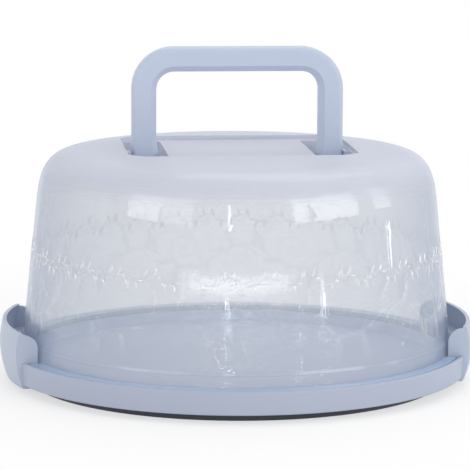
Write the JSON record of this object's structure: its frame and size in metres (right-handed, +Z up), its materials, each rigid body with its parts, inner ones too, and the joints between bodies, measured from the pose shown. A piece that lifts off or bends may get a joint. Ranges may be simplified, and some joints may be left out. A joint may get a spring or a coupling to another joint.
{
  "type": "cake carrier",
  "caption": "Round cake carrier with a clear lift-off dome lid, two side latches hinged on the tray and a folding handle.",
  "frame": {"origin": "centre of the tray's foot, on the surface that it stands on", "axes": "+X through the two latches, -Y towards the viewer of the picture, +Z up"},
  "size_m": [0.2964, 0.29, 0.2073],
  "materials": {
    "tray_plastic": "moulded polypropylene, satin",
    "clear_plastic": "clear moulded plastic with a frosted top",
    "handle_plastic": "moulded polypropylene, satin",
    "latch_plastic": "moulded polypropylene, satin"
  },
  "bodies": {
    "tray": {"tray": "tray_plastic"},
    "lid": {"lid": "clear_plastic", "flange_front": "clear_plastic", "flange_back": "clear_plastic"},
    "handle": {"handle": "handle_plastic"},
    "latch_left": {"latch_left": "latch_plastic"},
    "latch_right": {"latch_right": "latch_plastic"}
  },
  "joints": [
    {"name": "lid_lift", "type": "slide", "parent": "tray", "child": "lid", "axis": [0, 0, 1], "range_m": [0, 0.16]},
    {"name": "handle_fold", "type": "hinge", "parent": "lid", "child": "handle", "pos_m": [0, 0, 0.1395], "axis": [1, 0, 0], "range_deg": [-75, 75]},
    {"name": "latch_left_open", "type": "hinge", "parent": "tray", "child": "latch_left", "pos_m": [-0.1375, 0, 0.0088], "axis": [0, -1, 0], "range_deg": [0, 75]},
    {"name": "latch_right_open", "type": "hinge", "parent": "tray", "child": "latch_right", "pos_m": [0.1375, 0, 0.0088], "axis": [0, 1, 0], "range_deg": [0, 75]}
  ]
}
